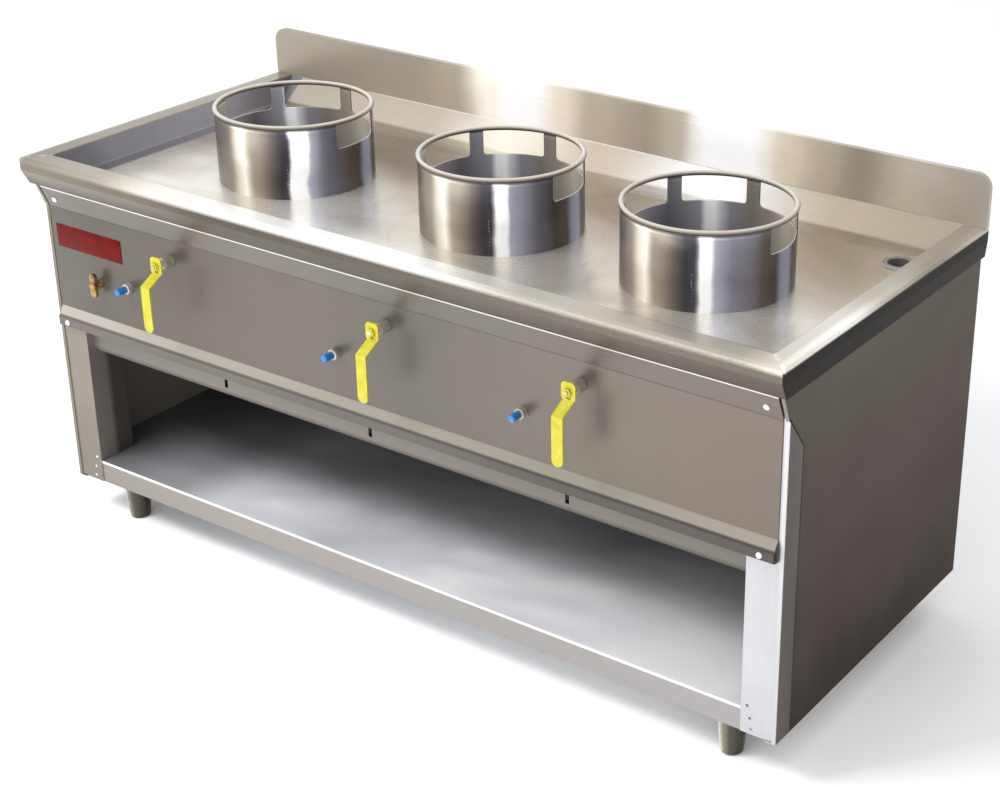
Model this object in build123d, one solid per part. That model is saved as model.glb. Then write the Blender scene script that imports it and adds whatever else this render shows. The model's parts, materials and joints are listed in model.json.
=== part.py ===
from build123d import *
import os
from math import cos, radians, sin

# Wok range with three burners on an open base. Millimetres, +Z up, floor at Z = 0.
# +X runs to the right seen from the front, and the front faces -Y.

# Overall sizes
LENGTH = 1800.0
DEPTH = 772.0
RIM_TOP = 840.0
SHEET = 2.0
LEVER_REACH = 28.0

# Worktop
RIM_WIDTH = 45.0
RIM_FACE = 28.0
RIM_DROP = 60.0
RIM_TUCK_FRONT = 16.0
RIM_TUCK_SIDE = 3.0
RIM_NOSE = 6.0
PAN_DEPTH = 58.0
PAN_SLOPE_FRONT = 20.0
PAN_SLOPE_SIDE = 35.0
PAN_SLOPE_BACK = 75.0
COLLAR_RADIUS = 225.0
COLLAR_HEIGHT = 12.0
COLLAR_LAND = 8.0
DRAIN_FROM_SIDE = 118.0
DRAIN_FROM_BACK = 132.0

# Backsplash
SPLASH_HEIGHT = 105.0
SPLASH_DEPTH = 12.0
SPLASH_RADIUS = 30.0

# Wok rings
RING_FROM_LEFT = 442.0
RING_FROM_RIGHT = 359.0
RING_MIDDLE_SHIFT = 33.5
RING_FROM_FRONT = 347.0
RING_RADIUS = 160.0
RING_WALL = 4.0
RING_HEIGHT = 148.0
ROD_DIAMETER = 10.0
WINDOW_COUNT = 4
WINDOW_ANGLE = 45.5
WINDOW_HEIGHT = 54.0
WINDOW_CORNER = 8.0
POST_ANGLE = 10.0
RING_LEDGE = 10.0

# Body
BODY_SIDE_INSET = 10.0
BODY_FRONT_INSET = 45.0
FOOT_HEIGHT = 90.0
FLANGE = 8.0
BACK_FLANGE = 22.0
FRONT_POST_WIDTH = 72.0
FRONT_POST_RETURN = 93.0
SHELF_HEIGHT = 142.0
SHELF_HEM = 12.0
FRONT_RAIL_SETBACK = 17.0
RAIL_DROP = 445.0
RAIL_HEIGHT = 65.0
RAIL_FLANGE = 28.0
NOTCH_OFFSETS = (36.0, -113.0, -111.0)
NOTCH_WIDTH = 9.0
NOTCH_HEIGHT = 22.0
NOTCH_RISE = 31.0
BASE_RAIL_WIDTH = 100.0

# Control fascia
FASCIA_GAP = 5.0
FASCIA_TOP_DROP = 62.0
FASCIA_LEAN = 22.0
FASCIA_CREASE_DROP = 114.0
FASCIA_LIP_DROP = 338.0
LIP_PROUD = 14.0
LIP_HEIGHT = 22.0
BAND_HEIGHT = 18.0
TUCK_HEIGHT = 22.0
SCREW_TOP_DROP = 93.0
SCREW_BAND_DROP = 369.0
SCREW_INSET = 40.0
SCREW_RADIUS = 2.5
SCREW_HEAD_RADIUS = 6.0
SCREW_HEAD_HEIGHT = 3.5
SCREW_HEAD_ROUND = 2.2
SCREW_CLEARANCE = 0.3

# Gas valves and levers
VALVE_OFFSETS = (-74.0, -45.0, -67.0)
VALVE_DROP = 158.0
VALVE_SETBACK = 30.0
VALVE_RADIUS = 20.0
VALVE_HALF_LENGTH = 36.0
VALVE_END_RADIUS = 16.0
VALVE_HEX_RADIUS = 18.0
VALVE_HEX_HEIGHT = 12.0
GLAND_RADIUS = 12.0
GLAND_OUT = 22.0
STEM_RADIUS = 6.0
STEM_DEPTH = 10.0
STEM_END_GAP = 0.5
STEM_THREAD_RADIUS = 4.2
STEM_THREAD_PROUD = 2.0
RUNNING_CLEARANCE = 0.05
LEVER_THICKNESS = 3.0
LEVER_HEAD_OUT = 36.0
LEVER_HEAD_WIDTH = 30.0
LEVER_HEAD_UP = 18.0
LEVER_HEAD_DOWN = 18.0
LEVER_CRANK_DOWN = 37.0
LEVER_LENGTH = 132.0
LEVER_WIDTH = 24.0
LEVER_SLOT_DROP = 12.5
LEVER_SLOT_WIDTH = 9.0
LEVER_SLOT_HEIGHT = 4.0
LEVER_HEAD_CORNER = 8.0
NUT_ACROSS = 15.0
NUT_HEIGHT = 6.0

# Igniters
IGNITER_OFFSET = -128.0
IGNITER_DROP = 248.0
IGNITER_COLLAR_RADIUS = 11.0
IGNITER_COLLAR_LENGTH = 14.0
IGNITER_BEVEL = 2.0
IGNITER_NECK_RADIUS = 9.5
IGNITER_BARREL_RADIUS = 12.0
IGNITER_BARREL_LENGTH = 45.0
BUTTON_RADIUS = 7.5
BUTTON_PROUD = 22.0
BUTTON_ROUND = 2.0
BUTTON_TRAVEL = 5.0
BUTTON_CLEARANCE = 0.08

# Pilot cock
COCK_FROM_SIDE = 152.0
COCK_DROP = 258.0
COCK_RADIUS = 10.0
COCK_OUT = 14.0
COCK_LENGTH = 34.0
COCK_NECK_RADIUS = 8.0
COCK_STEM_RADIUS = 4.0
COCK_BOSS_RADIUS = 8.0
COCK_BOSS_PROUD = 2.0
COCK_WAIST_RADIUS = 15.0
COCK_WAIST_WIDTH = 9.0
COCK_HANDLE_LENGTH = 52.0
COCK_HANDLE_WIDTH = 15.0
COCK_HANDLE_THICKNESS = 8.0
COCK_GAP = 0.3

# Gas line
MANIFOLD_DROP = 95.0
MANIFOLD_RADIUS = 13.5
PIPE_WALL = 2.5
MANIFOLD_FROM_SIDE = 110.0
DROP_RADIUS = 9.0
INLET_FROM_SIDE = 100.0
INLET_BEND = 28.0
INLET_THREAD_RADIUS = 13.2
INLET_THREAD_LENGTH = 30.0
BACK_HOLE_RADIUS = 30.0
BURNER_DROP = 215.0
SUPPLY_RADIUS = 8.0
SUPPLY_BEND = 16.0
INJECTOR_RADIUS = 9.0
INJECTOR_LENGTH = 22.0
INJECTOR_TIP = 4.0

# Burners
BURNER_TOP_DROP = 112.0
BURNER_RADIUS = 85.0
BURNER_NECK_RADIUS = 40.0
BURNER_BASE_RADIUS = 92.0
BURNER_BASE_HEIGHT = 8.0
BURNER_BASE_DROP = 262.0
BURNER_SOCKET_OUT = 100.0
BURNER_SOCKET_RADIUS = 28.0
BURNER_WALL = 6.0
BURNER_BOWL_HEIGHT = 24.0
JET_COUNTS = (12, 6)
JET_CIRCLES = (62.0, 34.0)
JET_RADIUS = 3.0
JET_DEPTH = 9.0
TUBE_RADIUS = 20.0
TUBE_THROAT = 13.0
TUBE_MOUTH = 30.0
TUBE_WALL = 3.0
TUBE_SEAT = 20.0
TUBE_MOUTH_GAP = 12.0
POT_INSET = 2.0
POT_LOW_RADIUS = 112.0
POT_DROP = 545.0
POT_LIP = 12.0
POT_TUBE_CLEARANCE = 6.0
POT_PIPE_CLEARANCE = 2.0
CARRIER_OFFSET = 62.0
CARRIER_WIDTH = 25.0
CARRIER_THICKNESS = 4.0
PILOT_OFFSET = -100.0
PILOT_RADIUS = 7.0
PILOT_HEIGHT = 60.0
PILOT_TIP = 7.0
PILOT_TIP_RADIUS = 3.5
PILOT_LINE_RADIUS = 5.0
PILOT_LINE_END = 12.0
PILOT_PIPE_RADIUS = 4.0
PILOT_PIPE_BEND = 14.0
PILOT_LINE_DROP = 292.0
PILOT_LINE_SETBACK = 55.0

# Drain
DRAIN_RADIUS = 24.0
DRAIN_FLANGE_RADIUS = 33.0
DRAIN_FLANGE_HEIGHT = 3.0
DRAIN_FLANGE_BEVEL = 1.8
DRAIN_WALL = 2.0
DRAIN_LENGTH = 45.0
DRAIN_SOCKET = 20.0
DRAIN_PIPE_DROP = 250.0
DRAIN_BEND = 40.0

# Feet
FOOT_FROM_SIDE = 130.0
FOOT_SETBACK = 55.0
FOOT_RADIUS = 27.0
FOOT_TIP_RADIUS = 22.0
FOOT_BODY_HEIGHT = 48.0
FOOT_TIP_ROUND = 5.0
FOOT_STEM_RADIUS = 10.0
FOOT_STEM_LENGTH = 36.0

# Places worked out from the sizes above
RIM_FRONT = (LEVER_REACH - DEPTH) / 2
BACK = RIM_FRONT + DEPTH
SPLASH_FACE = BACK - SPLASH_DEPTH
HALF = LENGTH / 2
BODY_HALF = HALF - BODY_SIDE_INSET
BODY_FRONT = RIM_FRONT + BODY_FRONT_INSET
POST_FACE = BODY_FRONT + SHEET
POST_INNER = BODY_HALF - SHEET - FRONT_POST_WIDTH
PAN_FLOOR = RIM_TOP - PAN_DEPTH
PAN_UNDERSIDE = PAN_FLOOR - SHEET
RING_SEAT = PAN_FLOOR + COLLAR_HEIGHT
RING_Y = RIM_FRONT + RING_FROM_FRONT
HOLE_RADIUS = RING_RADIUS - RING_LEDGE
POT_RADIUS = RING_RADIUS - POT_INSET
FASCIA_HALF = BODY_HALF - FLANGE - FASCIA_GAP
BACK_INNER = BACK - SHEET
STEM_Y = BODY_FRONT + VALVE_SETBACK
INLET_X = INLET_FROM_SIDE - HALF
COCK_X = COCK_FROM_SIDE - HALF
DRAIN_X = HALF - DRAIN_FROM_SIDE
DRAIN_Y = BACK - DRAIN_FROM_BACK
FOOT_X = HALF - FOOT_FROM_SIDE
MANIFOLD_START_X = INLET_X + INLET_BEND + SHEET
MANIFOLD_END_X = HALF - MANIFOLD_FROM_SIDE
RING_LEFT = RING_FROM_LEFT - HALF
RING_RIGHT = HALF - RING_FROM_RIGHT
RING_X = (RING_LEFT, (RING_LEFT + RING_RIGHT) / 2 + RING_MIDDLE_SHIFT, RING_RIGHT)
VALVE_X = tuple(ring + offset for ring, offset in zip(RING_X, VALVE_OFFSETS))
NOTCH_X = tuple(ring + offset for ring, offset in zip(RING_X, NOTCH_OFFSETS))
BURNER_AXIS = RIM_TOP - BURNER_DROP
PITCH_ANGLE = WINDOW_ANGLE + POST_ANGLE


def block(x0, x1, y0, y1, z0, z1):
    """A box given by its six limits."""
    centre = ((x0 + x1) / 2, (y0 + y1) / 2, (z0 + z1) / 2)
    return Pos(*centre) * Box(x1 - x0, y1 - y0, z1 - z0)


def folded(points, thickness):
    """Outline of a sheet folded along points. The thickness lies on the left of the path."""
    path = [Vector(*p) for p in points]
    runs = [(b - a).normalized() for a, b in zip(path, path[1:])]
    normals = [Vector(-r.Y, r.X) for r in runs]
    shifts = [normals[0]]
    for before, after in zip(normals, normals[1:]):
        shifts.append((before + after) / (1 + before.dot(after)))
    shifts.append(normals[-1])
    other = [p + s * thickness for p, s in zip(path, shifts)]
    return Polygon(*[(p.X, p.Y) for p in path + other[::-1]], align=None)


def along_x(outline, x0, x1):
    """Extrudes an outline drawn in Y and Z from x0 to x1."""
    return extrude(Plane.YZ.offset(x0) * outline, x1 - x0, dir=(1, 0, 0))


def along_y(outline, y0, y1):
    """Extrudes an outline drawn in X and Z from y0 to y1."""
    place = Plane(origin=(0, y0, 0), x_dir=(1, 0, 0), z_dir=(0, -1, 0))
    return extrude(place * outline, y1 - y0, dir=(0, 1, 0))


def rod_y(x, z, radius, y0, y1):
    """A round bar along Y."""
    return Pos(x, (y0 + y1) / 2, z) * Rot(90, 0, 0) * Cylinder(radius, y1 - y0)


def hex_flat(radius):
    """From the middle of a hexagon to the middle of its side."""
    return radius * cos(radians(30))


def rod_z(x, y, radius, z0, z1):
    """A round bar along Z."""
    return Pos(x, y, (z0 + z1) / 2) * Cylinder(radius, z1 - z0)


def pipe(points, radius, bend):
    """A round pipe along straight runs joined by bends."""
    path = FilletPolyline(*points, radius=bend)
    start = Plane(origin=path @ 0, z_dir=path % 0)
    return sweep(start * Circle(radius), path=path)


def mirrored(shape):
    return mirror(shape, about=Plane.YZ)


def save(shape, node):
    export_step(shape, f"parts/{node}.step")


# Worktop


def level(x, y0, y1, z):
    """A rectangle from -x to x and y0 to y1 at height z."""
    return Pos(0, (y0 + y1) / 2, z) * Rectangle(2 * x, y1 - y0)


def rim_block(inset, back, top, bottom):
    """The rim's outer form, or its inside when inset: an upright face above a tucked-in one."""
    knee = RIM_TOP - RIM_FACE
    slope = (RIM_TOP - bottom - RIM_FACE) / (RIM_DROP - RIM_FACE)
    x = HALF - inset
    y = RIM_FRONT + inset
    low_x = x - RIM_TUCK_SIDE * slope
    low_y = y + RIM_TUCK_FRONT * slope
    face = block(-x, x, y, back, knee, top)
    tuck = loft([level(x, y, back, knee), level(low_x, low_y, back, bottom)])
    return face + tuck


def basin(grow, bottom):
    """The pan's inside, or its outside when grown by the sheet."""
    x = HALF - RIM_WIDTH + grow
    y0 = RIM_FRONT + RIM_WIDTH - grow
    y1 = SPLASH_FACE + grow
    low = level(x - PAN_SLOPE_SIDE, y0 + PAN_SLOPE_FRONT, y1 - PAN_SLOPE_BACK, bottom)
    return loft([level(x, y0, y1, RIM_TOP), low])


def collar(x, base):
    """The raised cone that keeps spills out of a burner hole."""
    top_radius = RING_RADIUS + COLLAR_LAND
    cone = Cone(COLLAR_RADIUS, top_radius, COLLAR_HEIGHT)
    return Pos(x, RING_Y, base + COLLAR_HEIGHT / 2) * cone


def worktop():
    nose = rim_block(0, BACK, RIM_TOP, RIM_TOP - RIM_DROP)
    top_edges = nose.edges().group_by(Axis.Z)[-1]
    outer_edges = [e for e in top_edges if e.center().Y < BACK - SHEET]
    nose = fillet(outer_edges, RIM_NOSE)
    inside = rim_block(SHEET, BACK + SHEET, RIM_TOP - SHEET, RIM_TOP - RIM_DROP - SHEET)
    shape = nose - inside + basin(SHEET, PAN_UNDERSIDE)
    shape -= basin(0, PAN_FLOOR)
    for x in RING_X:
        shape += collar(x, PAN_FLOOR)
        shape -= collar(x, PAN_UNDERSIDE)
        shape -= rod_z(x, RING_Y, HOLE_RADIUS, PAN_UNDERSIDE, RIM_TOP)
    return shape - rod_z(DRAIN_X, DRAIN_Y, DRAIN_RADIUS, PAN_UNDERSIDE, PAN_FLOOR)


def splash_outline(inset):
    x = HALF - inset
    z0 = RIM_TOP
    z1 = RIM_TOP + SPLASH_HEIGHT - inset
    face = Polygon((-x, z0), (x, z0), (x, z1), (-x, z1), align=None)
    top = face.vertices().group_by(Axis.Y)[-1]
    return fillet(top, SPLASH_RADIUS - inset)


def backsplash():
    shape = along_y(splash_outline(0), SPLASH_FACE, BACK)
    return shape - along_y(splash_outline(SHEET), SPLASH_FACE + SHEET, BACK + SHEET)


# Wok rings


def window(centre_angle):
    """A cutter for one window, as a wedge of a ring with rounded bottom corners."""
    base = RING_HEIGHT - WINDOW_HEIGHT
    outer = RING_RADIUS + ROD_DIAMETER
    inner = RING_RADIUS - RING_WALL - ROD_DIAMETER
    start = -WINDOW_ANGLE / 2
    far = CenterArc((0, 0), outer, start, WINDOW_ANGLE)
    near = CenterArc((0, 0), inner, start, WINDOW_ANGLE)
    sides = [Line(near @ 0, far @ 0), Line(near @ 1, far @ 1)]
    wedge = make_face([far, near, *sides])
    cutter = extrude(Pos(0, 0, base) * wedge, WINDOW_HEIGHT)
    low = cutter.faces().sort_by(Axis.Z)[0].edges().filter_by(GeomType.LINE)
    cutter = fillet(low, WINDOW_CORNER)
    return Rot(0, 0, centre_angle) * cutter


def wok_ring(x):
    """Tube wall with windows open to a round rod rim. The windows are centred on the back."""
    wall = Cylinder(RING_RADIUS, RING_HEIGHT) - Cylinder(RING_RADIUS - RING_WALL, RING_HEIGHT)
    wall = Pos(0, 0, RING_HEIGHT / 2) * wall
    for i in range(WINDOW_COUNT):
        wall -= window(90 + (i - (WINDOW_COUNT - 1) / 2) * PITCH_ANGLE)
    rod = Torus(RING_RADIUS - RING_WALL / 2, ROD_DIAMETER / 2)
    wall += Pos(0, 0, RING_HEIGHT) * rod
    return Pos(x, RING_Y, RING_SEAT) * wall


# Body


def front_edge():
    """The body's front line in Y and Z, from the bottom to under the rim."""
    return [
        (BODY_FRONT, FOOT_HEIGHT),
        (BODY_FRONT, RIM_TOP - FASCIA_CREASE_DROP),
        (BODY_FRONT - FASCIA_LEAN, RIM_TOP - FASCIA_TOP_DROP),
    ]


def side_panel():
    """Right panel: flat sheet with folded front, bottom and back edges."""
    outer = BODY_HALF
    top = RIM_TOP - SHEET
    front = front_edge()
    lean_y = BODY_FRONT - FASCIA_LEAN
    outline = Polygon(*front, (lean_y, top), (BACK_INNER, top), (BACK_INNER, FOOT_HEIGHT), align=None)
    shape = along_x(outline, outer - SHEET, outer)
    shape += along_x(folded(front, -SHEET), outer - FLANGE, outer)
    shape += block(outer - BACK_FLANGE, outer, BODY_FRONT, BACK_INNER, FOOT_HEIGHT, FOOT_HEIGHT + SHEET)
    back_top = PAN_UNDERSIDE
    shape += block(outer - BACK_FLANGE, outer, BACK_INNER - SHEET, BACK_INNER, FOOT_HEIGHT, back_top)
    return shape


def screw_places():
    """Each fascia screw: its X, Y and Z on the sheet's face, and its lean from level in degrees."""
    lean_share = (SCREW_TOP_DROP - FASCIA_TOP_DROP) / (FASCIA_CREASE_DROP - FASCIA_TOP_DROP)
    lean_y = BODY_FRONT - FASCIA_LEAN * (1 - lean_share)
    lean = Vector(FASCIA_LEAN, FASCIA_CREASE_DROP - FASCIA_TOP_DROP).get_angle(Vector(0, 1))
    x = BODY_HALF - SCREW_INSET
    places = []
    for side in (-x, x):
        places.append((side, lean_y, RIM_TOP - SCREW_TOP_DROP, lean))
        places.append((side, BODY_FRONT - LIP_PROUD, RIM_TOP - SCREW_BAND_DROP, 0))
    return places


def at_screw(place, shape):
    """Puts a shape drawn along +Z, its back at 0, on the sheet so that +Z points outwards."""
    x, y, z, lean = place
    return Pos(x, y, z) * Rot(90 + lean, 0, 0) * shape


def shank(length, radius):
    return Pos(0, 0, -length / 2) * Cylinder(radius, length)


def cut_screws(shape, length):
    for place in screw_places():
        shape -= at_screw(place, shank(length, SCREW_RADIUS + SCREW_CLEARANCE))
    return shape


def fascia_screws():
    """Four pan-head screws as separate solids."""
    screws = []
    for place in screw_places():
        reach = POST_FACE + SHEET - place[1] + SHEET
        head = Cylinder(SCREW_HEAD_RADIUS, SCREW_HEAD_HEIGHT)
        head = fillet(head.edges().group_by(Axis.Z)[-1], SCREW_HEAD_ROUND)
        screw = Pos(0, 0, SCREW_HEAD_HEIGHT / 2) * head + shank(reach, SCREW_RADIUS)
        screws.append(at_screw(place, screw))
    return Compound(children=screws)


def front_post():
    """Right post: front face beside the opening and a return that stands on the shelf."""
    top = PAN_UNDERSIDE
    outer = BODY_HALF - SHEET
    shape = block(POST_INNER, outer, POST_FACE, POST_FACE + SHEET, FOOT_HEIGHT + SHEET, top)
    back = POST_FACE + FRONT_POST_RETURN
    shape += block(POST_INNER, POST_INNER + SHEET, POST_FACE, back, SHELF_HEIGHT, top)
    return cut_screws(shape, FASCIA_LEAN + LIP_PROUD + SHEET)


def fascia_profile():
    lip_top = RIM_TOP - FASCIA_LIP_DROP
    lip_low = lip_top - LIP_HEIGHT
    band_low = lip_low - BAND_HEIGHT
    return [
        (BODY_FRONT - FASCIA_LEAN, RIM_TOP - FASCIA_TOP_DROP),
        (BODY_FRONT, RIM_TOP - FASCIA_CREASE_DROP),
        (BODY_FRONT, lip_top),
        (BODY_FRONT - LIP_PROUD, lip_low),
        (BODY_FRONT - LIP_PROUD, band_low),
        (BODY_FRONT, band_low - TUCK_HEIGHT),
    ]


def igniter_places():
    return [x + IGNITER_OFFSET for x in VALVE_X]


def control_fascia():
    shape = along_x(folded(fascia_profile(), SHEET), -FASCIA_HALF, FASCIA_HALF)
    y0, y1 = BODY_FRONT - SHEET, POST_FACE + SHEET
    for x in VALVE_X:
        shape -= rod_y(x, RIM_TOP - VALVE_DROP, GLAND_RADIUS + COCK_GAP, y0, y1)
    for x in igniter_places():
        shape -= rod_y(x, RIM_TOP - IGNITER_DROP, IGNITER_NECK_RADIUS, y0, y1)
    shape -= rod_y(COCK_X, RIM_TOP - COCK_DROP, COCK_NECK_RADIUS, y0, y1)
    return cut_screws(shape, FASCIA_LEAN + LIP_PROUD + SHEET)


def bottom_shelf():
    """Shelf sheet with a hemmed front face behind the posts and a fold at the back."""
    x = BODY_HALF - SHEET
    face = POST_FACE + SHEET
    low = FOOT_HEIGHT + SHEET
    front = [(face + SHELF_HEM, low), (face, low), (face, SHELF_HEIGHT), (BACK_INNER - SHEET, SHELF_HEIGHT)]
    back = [(BACK_INNER - SHEET, low)]
    return along_x(folded(front + back, -SHEET), -x, x)


def back_panel():
    x = BODY_HALF
    shape = block(-x, x, BACK_INNER, BACK, FOOT_HEIGHT, RIM_TOP - SHEET)
    for hole_x, drop in ((INLET_X, MANIFOLD_DROP), (DRAIN_X, DRAIN_PIPE_DROP)):
        shape -= rod_y(hole_x, RIM_TOP - drop, BACK_HOLE_RADIUS, BACK_INNER - SHEET, BACK + SHEET)
    return shape


def front_rail():
    """Recessed channel between the posts, with three notches."""
    face = BODY_FRONT + FRONT_RAIL_SETBACK
    low = RIM_TOP - RAIL_DROP
    top = low + RAIL_HEIGHT
    path = [(face + RAIL_FLANGE, low), (face, low), (face, top), (face + RAIL_FLANGE, top)]
    shape = along_x(folded(path, -SHEET), -POST_INNER, POST_INNER)
    z = low + NOTCH_RISE
    half = NOTCH_WIDTH / 2
    for x in NOTCH_X:
        shape -= block(x - half, x + half, face - SHEET, face + SHEET + SHEET, z, z + NOTCH_HEIGHT)
    return shape


def rear_rail():
    face = BACK_INNER
    low = RIM_TOP - RAIL_DROP
    top = low + RAIL_HEIGHT
    path = [(face - RAIL_FLANGE, low), (face, low), (face, top), (face - RAIL_FLANGE, top)]
    return along_x(folded(path, SHEET), -BODY_HALF + BACK_FLANGE, BODY_HALF - BACK_FLANGE)


def base_rail():
    """Right channel under the shelf that carries two feet."""
    half = BASE_RAIL_WIDTH / 2
    low = FOOT_HEIGHT
    top = SHELF_HEIGHT - SHEET
    path = [(FOOT_X - half, top), (FOOT_X - half, low), (FOOT_X + half, low), (FOOT_X + half, top)]
    front = POST_FACE + SHEET + SHEET + SHELF_HEM
    return along_y(folded(path, SHEET), front, BACK_INNER - SHEET - SHEET)


# Feet


def foot_places():
    front = BODY_FRONT + FOOT_SETBACK
    back = BACK - FOOT_SETBACK
    return [(-FOOT_X, front), (FOOT_X, front), (-FOOT_X, back), (FOOT_X, back)]


def foot(place):
    """Tapered foot with a rounded tip and a stem that screws into its socket."""
    x, y = place
    r0, r1 = FOOT_TIP_RADIUS, FOOT_RADIUS
    top = FOOT_BODY_HEIGHT
    outline = Polygon((0, 0), (r0, 0), (r1, top), (0, top), align=None)
    tip = outline.vertices().sort_by_distance((r0, 0))[0]
    outline = fillet(tip, FOOT_TIP_ROUND)
    shape = revolve(Plane.XZ * outline, Axis.Z)
    shape += rod_z(0, 0, FOOT_STEM_RADIUS, top, top + FOOT_STEM_LENGTH)
    return Pos(x, y, 0) * shape


def foot_sockets():
    """Four sleeves between the feet and the base rails."""
    sockets = []
    for x, y in foot_places():
        sleeve = rod_z(x, y, FOOT_RADIUS, FOOT_BODY_HEIGHT, FOOT_HEIGHT)
        bore = FOOT_STEM_RADIUS + RUNNING_CLEARANCE
        sleeve -= rod_z(x, y, bore, FOOT_BODY_HEIGHT, FOOT_HEIGHT - SHEET)
        sockets.append(sleeve)
    return Compound(children=sockets)


# Gas valves and levers


def valve_body(x):
    """Brass ball valve with an upright flow way and a gland neck through the fascia."""
    z = RIM_TOP - VALVE_DROP
    barrel = Sphere(VALVE_RADIUS)
    ends = Cylinder(VALVE_END_RADIUS, 2 * VALVE_HALF_LENGTH)
    hexagon = extrude(RegularPolygon(VALVE_HEX_RADIUS, 6), VALVE_HEX_HEIGHT)
    shape = barrel + ends + Pos(0, 0, VALVE_HALF_LENGTH - VALVE_HEX_HEIGHT) * hexagon
    shape += Pos(0, 0, -VALVE_HALF_LENGTH) * hexagon
    shape = Pos(x, STEM_Y, z) * shape
    front = BODY_FRONT - GLAND_OUT
    shape += rod_y(x, z, GLAND_RADIUS, front, STEM_Y)
    bore = STEM_RADIUS + RUNNING_CLEARANCE
    return shape - rod_y(x, z, bore, front, STEM_Y - STEM_DEPTH)


def lever_head_back():
    return BODY_FRONT - LEVER_HEAD_OUT


def valve_stem(x):
    z = RIM_TOP - VALVE_DROP
    tip = lever_head_back() - LEVER_THICKNESS - NUT_HEIGHT - STEM_THREAD_PROUD
    inner = STEM_Y - STEM_DEPTH - STEM_END_GAP
    shoulder = rod_y(x, z, STEM_RADIUS, lever_head_back(), inner)
    return shoulder + rod_y(x, z, STEM_THREAD_RADIUS, tip, lever_head_back())


def valve_lever(x):
    """Flat bar cranked away from the fascia, with a wide head and a rounded end."""
    z = RIM_TOP - VALVE_DROP
    back = lever_head_back()
    grip = RIM_FRONT - LEVER_REACH + LEVER_THICKNESS
    path = [
        (back, z + LEVER_HEAD_UP),
        (back, z - LEVER_HEAD_DOWN),
        (grip, z - LEVER_CRANK_DOWN),
        (grip, z - LEVER_LENGTH),
    ]
    strip = along_x(folded(path, -LEVER_THICKNESS), x - LEVER_HEAD_WIDTH / 2, x + LEVER_HEAD_WIDTH / 2)
    head = RectangleRounded(LEVER_HEAD_WIDTH, LEVER_HEAD_UP + LEVER_HEAD_DOWN, LEVER_HEAD_CORNER)
    head = Pos(x, z + (LEVER_HEAD_UP - LEVER_HEAD_DOWN) / 2) * head
    bar = Pos(x, z - LEVER_LENGTH / 2) * Rot(0, 0, 90) * SlotOverall(LEVER_LENGTH, LEVER_WIDTH)
    plan = along_y(head + bar, grip - LEVER_THICKNESS, back)
    shape = strip & plan
    front = back - LEVER_THICKNESS
    shape -= rod_y(x, z, STEM_THREAD_RADIUS + RUNNING_CLEARANCE, front, back)
    slot = Pos(x, z - LEVER_SLOT_DROP) * SlotOverall(LEVER_SLOT_WIDTH, LEVER_SLOT_HEIGHT)
    return shape - along_y(slot, front, back)


def lever_nut(x):
    z = RIM_TOP - VALVE_DROP
    front = lever_head_back() - LEVER_THICKNESS
    plan = Pos(x, z) * RegularPolygon(NUT_ACROSS / 2, 6, major_radius=False)
    nut = along_y(plan, front - NUT_HEIGHT, front)
    return nut - rod_y(x, z, STEM_THREAD_RADIUS + RUNNING_CLEARANCE, front - NUT_HEIGHT, front)


# Igniters


def igniter_body(x):
    """Plated collar in front of the fascia and the barrel behind it."""
    z = RIM_TOP - IGNITER_DROP
    front = BODY_FRONT - IGNITER_COLLAR_LENGTH
    neck = IGNITER_NECK_RADIUS - RUNNING_CLEARANCE
    collar_ring = rod_y(x, z, IGNITER_COLLAR_RADIUS, front, BODY_FRONT)
    collar_ring = chamfer(collar_ring.edges().group_by(Axis.Y)[0], IGNITER_BEVEL)
    back = POST_FACE + IGNITER_BARREL_LENGTH
    shape = collar_ring + rod_y(x, z, neck, BODY_FRONT, POST_FACE)
    shape += rod_y(x, z, IGNITER_BARREL_RADIUS, POST_FACE, back)
    depth = POST_FACE + 2 * BUTTON_TRAVEL
    return shape - rod_y(x, z, BUTTON_RADIUS + BUTTON_CLEARANCE, front, depth)


def igniter_button(x):
    z = RIM_TOP - IGNITER_DROP
    front = BODY_FRONT - IGNITER_COLLAR_LENGTH - BUTTON_PROUD
    cap = rod_y(x, z, BUTTON_RADIUS, front, POST_FACE)
    return fillet(cap.edges().group_by(Axis.Y)[0], BUTTON_ROUND)


# Pilot cock


def pilot_cock_body():
    z = RIM_TOP - COCK_DROP
    front = BODY_FRONT - COCK_OUT
    hexagon = Pos(COCK_X, z) * RegularPolygon(COCK_RADIUS, 6)
    shape = along_y(hexagon, front, BODY_FRONT)
    shape += rod_y(COCK_X, z, COCK_NECK_RADIUS - RUNNING_CLEARANCE, BODY_FRONT, POST_FACE)
    shape += along_y(hexagon, POST_FACE, POST_FACE + COCK_LENGTH)
    bore = COCK_STEM_RADIUS + RUNNING_CLEARANCE
    return shape - rod_y(COCK_X, z, bore, front, POST_FACE)


def pilot_cock_handle():
    """Wing handle on its plug stem, upright when the cock is open."""
    z = RIM_TOP - COCK_DROP
    back = BODY_FRONT - COCK_OUT - COCK_GAP
    front = back - COCK_HANDLE_THICKNESS
    wing = Pos(COCK_X, z) * Rot(0, 0, 90) * SlotOverall(COCK_HANDLE_LENGTH, COCK_HANDLE_WIDTH)
    waist = COCK_WAIST_RADIUS + COCK_WAIST_WIDTH / 2
    for side in (-waist, waist):
        wing -= Pos(COCK_X + side, z) * Circle(COCK_WAIST_RADIUS)
    shape = along_y(wing, front, back)
    shape += rod_y(COCK_X, z, COCK_BOSS_RADIUS, front - COCK_BOSS_PROUD, back)
    return shape + rod_y(COCK_X, z, COCK_STEM_RADIUS, back, POST_FACE - COCK_GAP)


# Gas line


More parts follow.
